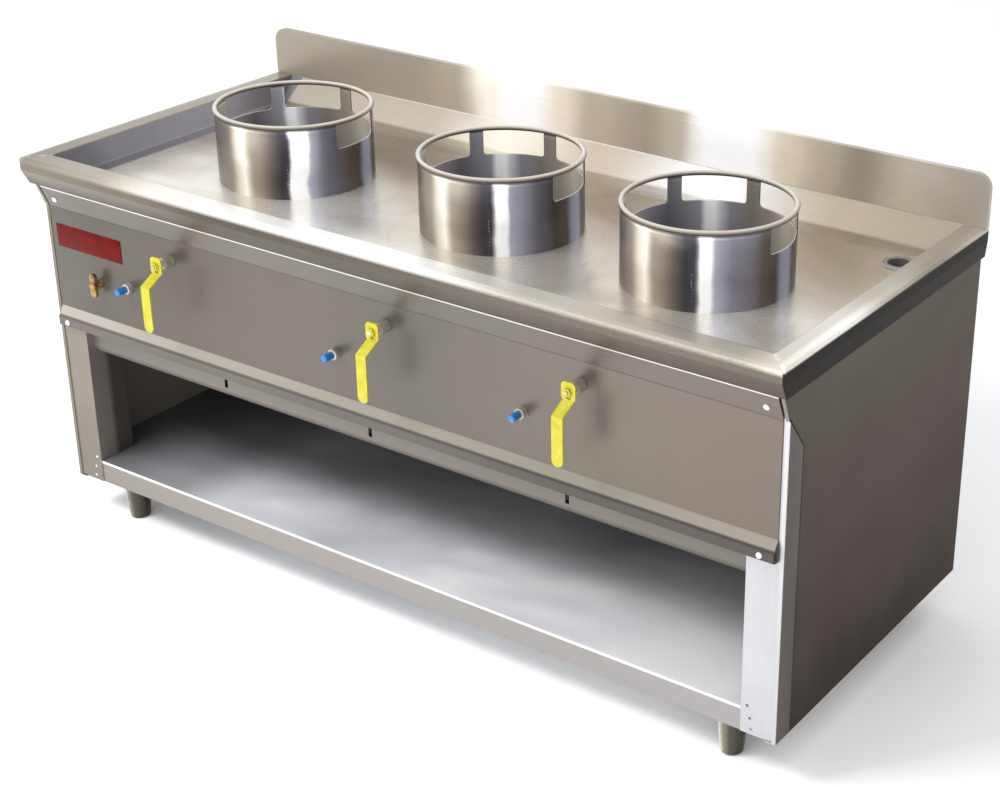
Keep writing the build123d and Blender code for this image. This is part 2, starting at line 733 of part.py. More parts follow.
def gas_manifold():
    """Level pipe with a drop to the top of each valve and one to the pilot cock."""
    z = RIM_TOP - MANIFOLD_DROP
    length = MANIFOLD_END_X - MANIFOLD_START_X
    shape = Rot(0, 90, 0) * Cylinder(MANIFOLD_RADIUS, length)
    shape = Pos(MANIFOLD_END_X - length / 2, STEM_Y, z) * shape
    valve_top = RIM_TOP - VALVE_DROP + VALVE_HALF_LENGTH
    for x in VALVE_X:
        shape += rod_z(x, STEM_Y, DROP_RADIUS, valve_top, z)
    cock_top = RIM_TOP - COCK_DROP + hex_flat(COCK_RADIUS)
    return shape + rod_z(COCK_X, STEM_Y, PILOT_PIPE_RADIUS, cock_top, z)


def gas_inlet_pipe():
    """Elbow from the manifold's left end and a run to the threaded end at the back."""
    z = RIM_TOP - MANIFOLD_DROP
    start = (MANIFOLD_START_X, STEM_Y, z)
    corner = (INLET_X, STEM_Y, z)
    thread = BACK - INLET_THREAD_LENGTH
    outer = pipe([start, corner, (INLET_X, thread, z)], MANIFOLD_RADIUS, INLET_BEND)
    outer += rod_y(INLET_X, z, INLET_THREAD_RADIUS, thread, BACK)
    return outer - pipe([start, corner, (INLET_X, BACK, z)], MANIFOLD_RADIUS - PIPE_WALL, INLET_BEND)


def injector_front():
    return STEM_Y + SUPPLY_BEND + SHEET


def supply_pipes():
    """From the foot of each valve down, across and back to its injector."""
    pipes = []
    top = RIM_TOP - VALVE_DROP - VALVE_HALF_LENGTH
    for valve, burner in zip(VALVE_X, RING_X):
        points = [
            (valve, STEM_Y, top),
            (valve, STEM_Y, BURNER_AXIS),
            (burner, STEM_Y, BURNER_AXIS),
            (burner, injector_front(), BURNER_AXIS),
        ]
        pipes.append(pipe(points, SUPPLY_RADIUS, SUPPLY_BEND))
    return Compound(children=pipes)


def injectors():
    """Three brass injectors, each at the mouth of its mixing tube."""
    made = []
    for x in RING_X:
        y = injector_front()
        plan = Pos(x, BURNER_AXIS) * RegularPolygon(INJECTOR_RADIUS, 6)
        shape = along_y(plan, y, y + INJECTOR_LENGTH - INJECTOR_TIP)
        shape += rod_y(x, BURNER_AXIS, INJECTOR_TIP, y, y + INJECTOR_LENGTH)
        made.append(shape)
    return Compound(children=made)


# Burners


def burner_head(x):
    """Cast head: base plate, neck with a side socket for the mixing tube, and a bowl with jets."""
    base = RIM_TOP - BURNER_BASE_DROP
    top = RIM_TOP - BURNER_TOP_DROP
    shoulder = BURNER_AXIS + BURNER_SOCKET_RADIUS
    profile = Polygon(
        (0, base),
        (BURNER_BASE_RADIUS, base),
        (BURNER_BASE_RADIUS, base + BURNER_BASE_HEIGHT),
        (BURNER_NECK_RADIUS, base + 2 * BURNER_BASE_HEIGHT),
        (BURNER_NECK_RADIUS, shoulder),
        (BURNER_RADIUS, top - BURNER_BOWL_HEIGHT),
        (BURNER_RADIUS, top - BURNER_WALL),
        (BURNER_RADIUS - BURNER_WALL, top),
        (0, top),
        align=None,
    )
    shape = revolve(Plane.XZ * profile, Axis.Z)
    shape += rod_y(0, BURNER_AXIS, BURNER_SOCKET_RADIUS, -BURNER_SOCKET_OUT, 0)
    for count, radius in zip(JET_COUNTS, JET_CIRCLES):
        for place in PolarLocations(radius, count):
            shape -= place * Pos(0, 0, top) * shank(JET_DEPTH, JET_RADIUS)
    shape = Pos(x, RING_Y, 0) * shape
    front = RING_Y - BURNER_SOCKET_OUT
    return shape - rod_y(x, BURNER_AXIS, TUBE_RADIUS, front, front + TUBE_SEAT)


def mixing_tube(x):
    """Venturi tube: bell mouth, throat and a widening run into the burner's socket."""
    end = RING_Y - BURNER_SOCKET_OUT + TUBE_SEAT
    mouth = injector_front() + INJECTOR_LENGTH - TUBE_MOUTH_GAP
    throat = mouth + (end - mouth) / 3
    outer = [
        (TUBE_MOUTH, mouth),
        (TUBE_THROAT + TUBE_WALL, throat),
        (TUBE_RADIUS, end - TUBE_SEAT),
        (TUBE_RADIUS, end),
    ]
    profile = folded(outer, TUBE_WALL)
    shape = revolve(Plane.XY * profile, Axis.Y)
    return Pos(x, 0, BURNER_AXIS) * shape


def pot_profile():
    """The pot's sheet from its top edge to the lip round its open bottom, as radius and Z."""
    low = RIM_TOP - POT_DROP
    outer = [(POT_RADIUS, RING_SEAT - SHEET), (POT_LOW_RADIUS, low), (POT_LOW_RADIUS - POT_LIP, low)]
    return folded(outer, -SHEET)


def burner_pot(x):
    """Tapered chamber under a burner hole, with openings for the mixing tube and the pilot pipe."""
    shape = Pos(x, RING_Y, 0) * revolve(Plane.XZ * pot_profile(), Axis.Z)
    shape -= rod_z(x, RING_Y, POT_RADIUS, RING_SEAT - SHEET, RING_SEAT)
    front = RING_Y - POT_RADIUS
    middle = RING_Y - POT_LOW_RADIUS / 2
    shape -= rod_y(x, BURNER_AXIS, TUBE_RADIUS + POT_TUBE_CLEARANCE, front, middle)
    pipe_radius = PILOT_PIPE_RADIUS + POT_PIPE_CLEARANCE
    shape -= rod_y(x + PILOT_OFFSET, RIM_TOP - PILOT_LINE_DROP, pipe_radius, front, RING_Y)
    return shape


def pot_inside(z):
    """The pot's inner radius at height z."""
    height = RING_SEAT - SHEET - RIM_TOP + POT_DROP
    taper = (POT_RADIUS - POT_LOW_RADIUS) / height
    wall = SHEET * (1 + taper**2) ** 0.5
    return POT_RADIUS - (RING_SEAT - SHEET - z) * taper - wall


def burner_carriers():
    """Two bars across each pot that carry the burner head."""
    top = RIM_TOP - BURNER_BASE_DROP
    low = top - CARRIER_THICKNESS
    bars = []
    for x in RING_X:
        bore = Pos(x, RING_Y, (top + low) / 2) * Cone(pot_inside(low), pot_inside(top), top - low)
        for side in (-CARRIER_OFFSET, CARRIER_OFFSET):
            left = x + side - CARRIER_WIDTH / 2
            reach = (RING_Y - POT_RADIUS, RING_Y + POT_RADIUS)
            bars.append(block(left, left + CARRIER_WIDTH, *reach, low, top) & bore)
    return Compound(children=bars)


def pilot_burners():
    """An upright pilot with a hooded tip beside each burner bowl."""
    top = RIM_TOP - BURNER_TOP_DROP
    upright = rod_z(0, 0, PILOT_RADIUS, top - PILOT_HEIGHT, top)
    tip = Pos(0, 0, top + PILOT_TIP / 2) * Cone(PILOT_RADIUS, PILOT_TIP_RADIUS, PILOT_TIP)
    return Compound(children=[Pos(x + PILOT_OFFSET, RING_Y, 0) * (upright + tip) for x in RING_X])


def pilot_line():
    """Thin tube from the cock along the front, with a branch to each pilot."""
    line_y = POST_FACE + PILOT_LINE_SETBACK
    line_z = RIM_TOP - PILOT_LINE_DROP
    cock_z = RIM_TOP - COCK_DROP
    pilot_base = RIM_TOP - BURNER_TOP_DROP - PILOT_HEIGHT
    start = (COCK_X, POST_FACE + COCK_LENGTH, cock_z)
    end_x = RING_X[-1] + PILOT_OFFSET + PILOT_LINE_END
    route = [start, (COCK_X, line_y, cock_z), (COCK_X, line_y, line_z), (end_x, line_y, line_z)]
    shape = pipe(route, PILOT_LINE_RADIUS, PILOT_PIPE_BEND)
    for ring_x in RING_X:
        x = ring_x + PILOT_OFFSET
        branch = [(x, line_y, line_z), (x, RING_Y, line_z), (x, RING_Y, pilot_base)]
        shape += pipe(branch, PILOT_PIPE_RADIUS, PILOT_PIPE_BEND)
    return shape


# Drain


def drain_outlet():
    """Flanged tail piece through the pan."""
    low = PAN_FLOOR - DRAIN_LENGTH
    radius = DRAIN_RADIUS - RUNNING_CLEARANCE
    shape = rod_z(DRAIN_X, DRAIN_Y, DRAIN_FLANGE_RADIUS, PAN_FLOOR, PAN_FLOOR + DRAIN_FLANGE_HEIGHT)
    shape = chamfer(shape.edges().group_by(Axis.Z)[-1], DRAIN_FLANGE_BEVEL)
    shape += rod_z(DRAIN_X, DRAIN_Y, radius, low, PAN_FLOOR)
    return shape - rod_z(DRAIN_X, DRAIN_Y, radius - DRAIN_WALL, low, PAN_FLOOR + DRAIN_FLANGE_HEIGHT)


def drain_pipe():
    """Elbow that sleeves over the tail piece and runs to the back."""
    top = PAN_FLOOR - DRAIN_LENGTH + DRAIN_SOCKET
    z = RIM_TOP - DRAIN_PIPE_DROP
    points = [(DRAIN_X, DRAIN_Y, top), (DRAIN_X, DRAIN_Y, z), (DRAIN_X, BACK, z)]
    outer = pipe(points, DRAIN_RADIUS + DRAIN_WALL, DRAIN_BEND)
    return outer - pipe(points, DRAIN_RADIUS, DRAIN_BEND)


def main():
    os.makedirs("parts", exist_ok=True)
    save(worktop(), "worktop")
    save(backsplash(), "backsplash")
    save(control_fascia(), "control_fascia")
    save(fascia_screws(), "fascia_screws")
    save(bottom_shelf(), "bottom_shelf")
    save(back_panel(), "back_panel")
    save(front_rail(), "front_rail")
    save(rear_rail(), "rear_rail")
    for name, make in (("side_panel", side_panel), ("front_post", front_post), ("base_rail", base_rail)):
        right = make()
        save(right, f"{name}_right")
        save(mirrored(right), f"{name}_left")
    save(foot_sockets(), "foot_sockets")
    for number, place in enumerate(foot_places(), 1):
        save(foot(place), f"foot_{number}")
    save(gas_manifold(), "gas_manifold")
    save(gas_inlet_pipe(), "gas_inlet_pipe")
    save(supply_pipes(), "supply_pipes")
    save(injectors(), "injectors")
    save(burner_carriers(), "burner_carriers")
    save(pilot_burners(), "pilot_burners")
    save(pilot_line(), "pilot_line")
    save(pilot_cock_body(), "pilot_cock_body")
    save(pilot_cock_handle(), "pilot_cock_handle")
    save(drain_outlet(), "drain_outlet")
    save(drain_pipe(), "drain_pipe")
    for number, (valve, burner) in enumerate(zip(VALVE_X, RING_X), 1):
        igniter = valve + IGNITER_OFFSET
        save(wok_ring(burner), f"wok_ring_{number}")
        save(burner_head(burner), f"burner_head_{number}")
        save(mixing_tube(burner), f"mixing_tube_{number}")
        save(burner_pot(burner), f"burner_pot_{number}")
        save(valve_body(valve), f"valve_body_{number}")
        save(valve_stem(valve), f"valve_stem_{number}")
        save(valve_lever(valve), f"valve_lever_{number}")
        save(lever_nut(valve), f"lever_nut_{number}")
        save(igniter_body(igniter), f"igniter_body_{number}")
        save(igniter_button(igniter), f"igniter_button_{number}")


main()
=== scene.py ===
import json
import math

import bmesh
import bpy
from mathutils import Matrix, Vector

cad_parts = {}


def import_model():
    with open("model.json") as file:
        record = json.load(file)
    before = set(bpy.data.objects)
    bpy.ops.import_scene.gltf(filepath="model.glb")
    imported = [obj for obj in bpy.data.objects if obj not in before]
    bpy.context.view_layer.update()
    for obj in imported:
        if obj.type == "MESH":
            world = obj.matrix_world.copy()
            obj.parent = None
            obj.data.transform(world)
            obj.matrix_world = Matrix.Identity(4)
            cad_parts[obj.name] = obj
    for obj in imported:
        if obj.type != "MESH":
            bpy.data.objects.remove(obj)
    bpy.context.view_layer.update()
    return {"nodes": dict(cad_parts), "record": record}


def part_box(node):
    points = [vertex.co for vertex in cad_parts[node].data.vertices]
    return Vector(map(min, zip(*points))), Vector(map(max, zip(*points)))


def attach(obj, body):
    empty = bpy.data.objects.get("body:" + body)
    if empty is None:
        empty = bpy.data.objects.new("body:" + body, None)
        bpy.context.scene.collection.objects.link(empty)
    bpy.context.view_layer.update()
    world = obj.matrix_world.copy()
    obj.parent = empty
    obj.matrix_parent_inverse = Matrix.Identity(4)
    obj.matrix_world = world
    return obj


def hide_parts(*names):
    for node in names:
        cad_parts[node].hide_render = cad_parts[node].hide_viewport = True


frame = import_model()

# Places taken from the frame, in metres
TOP_LOW, TOP_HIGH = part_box("worktop")
RIM_TOP = TOP_HIGH.z
RIM_FRONT = TOP_LOW.y
HALF = TOP_HIGH.x
BACK = TOP_HIGH.y
SIDE_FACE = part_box("side_panel_right")[1].x
POST_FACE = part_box("front_post_right")[0].y
BODY_FRONT = POST_FACE - 0.002
FASCIA_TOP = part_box("control_fascia")[1].z
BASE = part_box("side_panel_right")[0].z
FLOOR = 0.0
SHELF_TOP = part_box("bottom_shelf")[1].z
SHELF_FACE_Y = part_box("bottom_shelf")[0].y + 0.0005
RING_RADIUS = 0.160
RING_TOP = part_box("wok_ring_1")[1].z - 0.010

# Places on the sheets, as measured in the part's source
CREASE = RIM_TOP - 0.114
LIP_TOP = RIM_TOP - 0.338
LEFT_WALL = 0.045 - HALF
COVE_FOOT = BACK - 0.087
SEAM_TIP = Vector((BODY_FRONT - 0.007, RIM_TOP - 0.099))
SEAM_KNEE = Vector((BODY_FRONT + 0.051, RIM_TOP - 0.176))

# How far the visual rail's lower fold and notches and the fascia's last fold lie from the source's
RAIL_LIFT = 0.014
NOTCH_LIFT = -0.003
FOLD_LIFT = 0.016
RAIL_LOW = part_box("front_rail")[0].z + RAIL_LIFT

# Where the rim's flat top ends inwards, how wide its roll is in front and at the sides, and where it starts
LEDGE_END = (0.047, 0.043)
ROLL = 0.018
ROLL_SIDE = 0.02
FLAT = (RIM_TOP - 0.002, RIM_TOP - 0.0005)

# Two corners of the plate on the fascia, and the spot welds of the right post, as X and Z
PLATE_LOW, PLATE_HIGH = (-0.865, 0.640), (-0.675, 0.690)
SPOTS = [(0.835, 0.125), (0.838, 0.103), (0.829, 0.150)]
BEADS = 8

RING_NAMES = [f"wok_ring_{number}" for number in (1, 2, 3)]


def middle(node):
    low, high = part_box(node)
    return (low + high) / 2


# Colours and node materials


def linear(code):
    """An sRGB hex code as linear RGBA."""
    values = [int(code[i : i + 2], 16) / 255 for i in (1, 3, 5)]
    return (*[v / 12.92 if v <= 0.04045 else ((v + 0.055) / 1.055) ** 2.4 for v in values], 1)


class Sheet:
    """A node material with short names for the nodes that the finishes share."""

    def __init__(self, name, metallic=1.0, roughness=0.35):
        self.material = bpy.data.materials.new(name)
        self.material.use_nodes = True
        self.tree = self.material.node_tree
        self.shader = self.tree.nodes["Principled BSDF"]
        self.shader.inputs["Metallic"].default_value = metallic
        self.shader.inputs["Roughness"].default_value = roughness

    def add(self, kind, **inputs):
        node = self.tree.nodes.new(kind)
        for name, value in inputs.items():
            self.put(node.inputs[name.replace("_", " ")], value)
        return node

    def put(self, socket, value):
        if isinstance(value, bpy.types.NodeSocket):
            self.tree.links.new(value, socket)
        else:
            socket.default_value = value

    def place(self, scale=(1, 1, 1), shift=(0, 0, 0)):
        """Object coordinates in metres, moved and scaled."""
        source = self.add("ShaderNodeTexCoord").outputs["Object"]
        node = self.add("ShaderNodeMapping", Vector=source, Location=shift, Scale=scale)
        return node.outputs["Vector"]

    def noise(self, vector, detail=3.0, roughness=0.5, distortion=0.0):
        """Noise at places that are already scaled."""
        node = self.add("ShaderNodeTexNoise", Vector=vector, Scale=1.0, Detail=detail)
        node.inputs["Roughness"].default_value = roughness
        node.inputs["Distortion"].default_value = distortion
        return node.outputs["Fac"]

    def ramp(self, factor, stops, smooth=True):
        """A colour ramp from (place, hex code or grey) stops."""
        node = self.add("ShaderNodeValToRGB", Fac=factor)
        node.color_ramp.interpolation = "EASE" if smooth else "LINEAR"
        marks = node.color_ramp.elements
        while len(marks) < len(stops):
            marks.new(0.5)
        for mark, (place, tone) in zip(marks, stops):
            mark.position = place
            mark.color = linear(tone) if isinstance(tone, str) else (tone, tone, tone, 1)
        return node.outputs["Color"]

    def span(self, value, low, high, to_low=0.0, to_high=1.0):
        """A value's place between two ends, held within them."""
        node = self.add("ShaderNodeMapRange", Value=value)
        for name, end in (("From Min", low), ("From Max", high), ("To Min", to_low), ("To Max", to_high)):
            self.put(node.inputs[name], end)
        return node.outputs["Result"]

    def mix(self, factor, first, second, blend="MIX"):
        node = self.tree.nodes.new("ShaderNodeMix")
        node.data_type = "RGBA"
        node.blend_type = blend
        self.put(node.inputs["Factor"], factor)
        self.put(node.inputs["A"], linear(first) if isinstance(first, str) else first)
        self.put(node.inputs["B"], linear(second) if isinstance(second, str) else second)
        return node.outputs["Result"]

    def math(self, operation, *values):
        node = self.tree.nodes.new("ShaderNodeMath")
        node.operation = operation
        for socket, value in zip(node.inputs, values):
            self.put(socket, value)
        return node.outputs[0]

    def axis(self, name, vector=None):
        """One coordinate in the shared frame, in metres."""
        source = vector or self.add("ShaderNodeTexCoord").outputs["Object"]
        return self.add("ShaderNodeSeparateXYZ", Vector=source).outputs[name]

    def colour(self, value):
        self.put(self.shader.inputs["Base Color"], value)

    def rough(self, value):
        self.put(self.shader.inputs["Roughness"], value)

    def facing(self, name):
        """One part of the surface direction."""
        direction = self.add("ShaderNodeNewGeometry").outputs["Normal"]
        return self.add("ShaderNodeSeparateXYZ", Vector=direction).outputs[name]

    def bump(self, height, strength, distance, rounding=0.0):
        """Fine relief on edges rounded by a radius."""
        node = self.add("ShaderNodeBump", Height=height)
        node.inputs["Strength"].default_value = strength
        node.inputs["Distance"].default_value = distance
        if rounding:
            edge = self.add("ShaderNodeBevel", Radius=rounding)
            edge.samples = 4
            self.put(node.inputs["Normal"], edge.outputs["Normal"])
        self.put(self.shader.inputs["Normal"], node.outputs["Normal"])


# Streaks run along one axis
GRAIN_X = (3, 1100, 1100)
GRAIN_Y = (1100, 3, 1100)
GRAIN_Z = (1100, 1100, 3)

# Tones of the sheets, mostly painted highlights, reflections and shade: places in metres along, across or up
# the range
# Painted reflections along the cove behind the pan, white where painted highlights fall
COVE_REFLECTION_TONES = [
    (-0.9, "#b6ad9e"),
    (-0.4, "#c7bdad"),
    (-0.2, "#fbf2e2"),
    (0.05, "#cfc3b0"),
    (0.3, "#ffffff"),
    (0.6, "#bfb3a0"),
    (0.9, "#b0a594"),
]
# Painted reflections on the pan's left wall, darker near the front
WALL_REFLECTION_TONES = [(-0.372, "#5a565c"), (-0.24, "#6a676e"), (-0.17, "#7c7980"), (0.1, "#8b8890"), (0.4, "#7c7980")]
# Painted highlights and reflections along the rim's front ledge, near white in the middle
LEDGE_HIGHLIGHT_TONES = [
    (-0.9, "#938c7f"),
    (-0.7, "#aba295"),
    (-0.5, "#f2eae0"),
    (-0.3, "#fbfaf6"),
    (0.12, "#fbfaf6"),
    (0.4, "#beb8ac"),
    (0.8, "#b0a89c"),
    (0.9, "#e6dece"),
]
# Painted reflections along the left ledge
LEFT_LEDGE_REFLECTION_TONES = [(-0.372, "#857f74"), (-0.1, "#989082"), (0.4, "#a6a092")]
# Painted reflections along the right ledge, with a painted highlight towards its front
RIGHT_LEDGE_REFLECTION_TONES = [
    (-0.372, "#f2ecdf"),
    (-0.15, "#fffdf8"),
    (0.0, "#c2bbae"),
    (0.15, "#a19a8e"),
    (0.4, "#d6cebe"),
]
# Painted shade on the rim's front face, lightest at the left
RIM_FACE_SHADE_TONES = [
    (-0.9, "#80776a"),
    (-0.6, "#736a5f"),
    (-0.35, "#554e44"),
    (-0.1, "#575047"),
    (0.4, "#625b52"),
    (0.9, "#5f584f"),
]
# Painted reflections along the backsplash, with two white painted highlights
SPLASH_REFLECTION_TONES = [
    (-0.9, "#a19687"),
    (-0.5, "#b0a597"),
    (-0.36, "#c0b3a2"),
    (-0.27, "#fff8ea"),
    (-0.22, "#ffffff"),
    (-0.15, "#ffffff"),
    (-0.08, "#ece0cf"),
    (0.0, "#c9bcaa"),
    (0.13, "#b8ac9b"),
    (0.21, "#d0c4b1"),
    (0.28, "#ffffff"),
    (0.38, "#ffffff"),
    (0.47, "#e0d3bf"),
    (0.54, "#c6b9a6"),
    (0.62, "#b2a695"),
    (0.73, "#cfc3b2"),
    (0.9, "#b0a79b"),
]
# Painted shade on the shelf's face, darkest at the left
SHELF_FACE_SHADE_TONES = [(-0.9, "#7f7972"), (-0.4, "#8a847f"), (0.2, "#8c8886"), (0.9, "#959190")]
# Painted shade on the shelf's top as factors by depth, falling off into the opening
SHELF_DEPTH_SHADE = [(-0.326, 1.0), (-0.26, 1.0), (-0.19, 0.88), (-0.12, 0.68), (-0.03, 0.52), (0.1, 0.42)]
FASCIA_TONES = [
    (-0.9, "#6a6661"),
    (-0.75, "#635e56"),
    (-0.2, "#6a635d"),
    (0.06, "#66615b"),
    (0.6, "#6f675f"),
    (0.9, "#70655d"),
]
# Painted highlight on the fascia's outward-sloping lip, fading to the right
LIP_HIGHLIGHT_TONES = [(-0.9, "#c2bbb1"), (-0.4, "#aba499"), (0.0, "#a19a8f"), (0.5, "#989187"), (0.9, "#a39b91")]
# Painted shade on the band under the lip
UNDER_LIP_SHADE_TONES = [(-0.9, "#6e6962"), (-0.4, "#68635c"), (0.0, "#625d57"), (0.5, "#534f4a"), (0.9, "#504c48")]
RAIL_TONES = [(-0.9, "#6f6a63"), (-0.5, "#78726b"), (0.0, "#736e68"), (0.4, "#6f6a64"), (0.9, "#6d6862")]
# Painted shade on the side panels, darkest at the foot
PANEL_SHADE_TONES = [(0.09, "#362e2a"), (0.3, "#49403c"), (0.55, "#544b46"), (0.7, "#58524b"), (0.84, "#5e594f")]
# Painted light and shade round the feet, by which way the surface faces
FOOT_SHADING_STOPS = [(0.0, "#a39c8d"), (0.2, "#d9d2c4"), (0.45, "#837d70"), (0.7, "#514d44"), (1.0, "#3a372f")]

# The rings' painted highlights in degrees: their middles, half widths and wander
HIGHLIGHT_ANGLES = (-44.5, -52.5, -59.5)
HIGHLIGHT_HALF = (5.5, 3.5, 3.0)
HIGHLIGHT_WANDER = (9, 5, 4)

# Painted shadow and highlight up a ring's wall under its rim, painted light and shade up the rod rim itself,
# and painted reflections round the walls by degrees from the painted highlight
ROD_SHADOW_AND_HIGHLIGHT_STOPS = [(0.0, 1.0), (0.3, 1.0), (0.45, 1.25), (0.62, 1.25), (0.74, 0.55), (1.0, 0.6)]
ROD_SHADING_STOPS = [(0.0, "#4a4540"), (0.5, "#857e75"), (0.85, "#bfb8ad"), (1.0, "#ccc5ba")]


# Painted reflections round a ring's outer face, white across the painted highlight
def outer_reflection_tones(half):
    return [
        (-180, "#8a8580"),
        (-88, "#5a544e"),
        (-66, "#847d75"),
        (-56, "#968e84"),
        (-49, "#d6ccbd"),
        (-42, "#efe6d8"),
        (-36, "#b8aea0"),
        (-28, "#9d9487"),
        (-20, "#6b645f"),
        (-13, "#403e43"),
        (-half - 3, "#45434c"),
        (-half, "#ffffff"),
        (half, "#ffffff"),
        (half + 2, "#b4b7c8"),
        (16, "#8b8c9b"),
        (32, "#747079"),
        (38, "#5f564e"),
        (50, "#4c4a4c"),
        (55, "#979cb8"),
        (64, "#a6abc6"),
        (70, "#45434a"),
        (100, "#55524f"),
    ]


# Painted reflections round a ring's inner face, white across the painted highlight
INNER_REFLECTION_TONES = [
    (-180, "#a59f98"),
    (-66, "#b0a99d"),
    (-48, "#8f877d"),
    (-30, "#7a736b"),
    (-14, "#8a8890"),
    (-6, "#d5d5da"),
    (-3, "#ffffff"),
    (3, "#ffffff"),
    (7, "#a9a8b0"),
    (30, "#77757c"),
    (48, "#a3a1a8"),
    (62, "#c3bcb0"),
    (180, "#a59f98"),
]


def clouds(sheet, low, mid, high, scale=(1.2, 2.0, 2.5), seed=0.0):
    """A broad, soft change between three tones."""
    cloud = sheet.noise(sheet.place(scale=scale, shift=(seed, seed, seed)), detail=2, distortion=0.3)
    return sheet.ramp(cloud, [(0.32, low), (0.5, mid), (0.68, high)])


def wander(sheet, scale=(5, 5, 5)):
    """A slow noise about zero, by which borders leave their straight lines."""
    return sheet.math("SUBTRACT", sheet.noise(sheet.place(scale=scale), detail=3), 0.5)


def along(sheet, axis, low, high, stops, drift=0.06):
    """Tones at places along an axis, or along a value in metres, from low to high with a wandering border."""
    straight = sheet.axis(axis) if isinstance(axis, str) else axis
    value = sheet.math("MULTIPLY_ADD", wander(sheet), drift, straight)
    span = high - low
    return sheet.ramp(sheet.span(value, low, high), [((at - low) / span, tone) for at, tone in stops])


def milky(sheet, tone, metallic):
    """Lower metallic where the tone is light, so that painted highlights stay light where the surface mirrors
    something dark.
    """
    sheet.put(sheet.shader.inputs["Metallic"], sheet.span(tone, 0.4, 0.8, metallic, 0.1))


def finished(sheet, tone, grain, rough, depth=0.08, rounding=0.0012, dark=0.9):
    """Brushed streaks and smudges over a tone."""
    streak = sheet.noise(sheet.place(scale=grain), detail=4, roughness=0.6)
    grey = sheet.ramp(streak, [(0.3, dark), (0.7, 1.0)], smooth=False)
    sheet.colour(sheet.mix(1.0, tone, grey, "MULTIPLY"))
    smudge = sheet.noise(sheet.place(scale=(9, 9, 9), shift=(0, 2, 1)), detail=4)
    level = sheet.math("ADD", sheet.math("MULTIPLY", streak, 0.6), sheet.math("MULTIPLY", smudge, 0.4))
    sheet.rough(sheet.span(level, 0.3, 0.7, *rough))
    sheet.bump(streak, depth, 0.0003, rounding)
    return sheet.material


def brushed_steel(name, tones, grain, scale=(1.2, 2.0, 2.5), metallic=0.75):
    sheet = Sheet(name, metallic=metallic)
    return finished(sheet, clouds(sheet, *tones, scale), grain, (0.26, 0.42))


def foot_steel():
    """Round bright feet with painted light on the side towards the left front and painted shade on the right.
    """
    sheet = Sheet("steel_foot", metallic=0.6)
    tone = sheet.ramp(sheet.span(sheet.facing("X"), -1, 1), FOOT_SHADING_STOPS)
    return finished(sheet, tone, GRAIN_Z, (0.2, 0.36), depth=0.05)


def pan_light_and_reflections(sheet, x, y):
    """The pan's floor has painted light at the front and is darker behind, with the cove behind it and the
    wall at its left, both with painted reflections.
    """
    # Painted light: lighter at the front, darker behind and lighter again towards the right
    front = clouds(sheet, "#b8afa1", "#e0dacf", "#fbf9f6", scale=(2.6, 5.0, 2.5))
    back = clouds(sheet, "#a99e8f", "#bfb4a5", "#d6ccbd", scale=(1.6, 3.0, 2.5), seed=4.0)
    back = sheet.mix(sheet.span(x, 0.3, 0.8, 0.0, 0.5), back, "#dcd3c3")
    tone = sheet.mix(sheet.span(y, RIM_FRONT + 0.17, RIM_FRONT + 0.5), front, back)
    cove = along(sheet, "X", -HALF, HALF, COVE_REFLECTION_TONES, drift=0.15)
    tone = sheet.mix(sheet.span(y, COVE_FOOT - 0.01, COVE_FOOT + 0.01), tone, cove)
    wall = along(sheet, "Y", RIM_FRONT, BACK, WALL_REFLECTION_TONES, drift=0.05)
    return sheet.mix(sheet.span(x, LEFT_WALL + 0.037, LEFT_WALL + 0.033), tone, wall)


def ledge_highlights(sheet, x, y):
    """The rim's flat top: three sides with painted highlights and reflections, joined by mitres with weld
    spots.
    """
    tone = along(sheet, "X", -HALF, HALF, LEDGE_HIGHLIGHT_TONES)
    in_from_front = sheet.math("SUBTRACT", y, RIM_FRONT)
    in_from_left = sheet.math("ADD", x, HALF)
    in_from_right = sheet.math("SUBTRACT", HALF, x)
    left = along(sheet, "Y", RIM_FRONT, BACK, LEFT_LEDGE_REFLECTION_TONES)
    # Painted highlight along the left ledge's outer edge
    left = sheet.mix(sheet.span(in_from_left, 0.014, 0.006, 0.0, 0.6), left, "#cdc8bc")
    right = along(sheet, "Y", RIM_FRONT, BACK, RIGHT_LEDGE_REFLECTION_TONES)
    # The right ledge's painted highlight is dimmed halfway to a pan-like tone towards its inner edge
    right = sheet.mix(sheet.span(in_from_right, 0.024, 0.014), sheet.mix(0.5, right, "#b3ab9d"), right)
    for side, gap, shown in ((left, in_from_left, 0.35), (right, in_from_right, 1.0)):
        inside = sheet.span(gap, *LEDGE_END)
        off_mitre = sheet.math("SUBTRACT", in_from_front, gap)
        mitre = sheet.span(off_mitre, -0.001, 0.001)
        tone = sheet.mix(sheet.math("MULTIPLY", inside, mitre), tone, side)
        spots = sheet.noise(sheet.place(scale=(110, 110, 110)), detail=2)
        near_mitre = sheet.span(sheet.math("ABSOLUTE", off_mitre), 0.009, 0.001)
        weld = sheet.math("MULTIPLY", near_mitre, sheet.span(spots, 0.42, 0.58))
        weld = sheet.math("MULTIPLY", weld, sheet.math("MULTIPLY", inside, shown))
        tone = sheet.mix(weld, tone, "#fffaf0")
    return tone


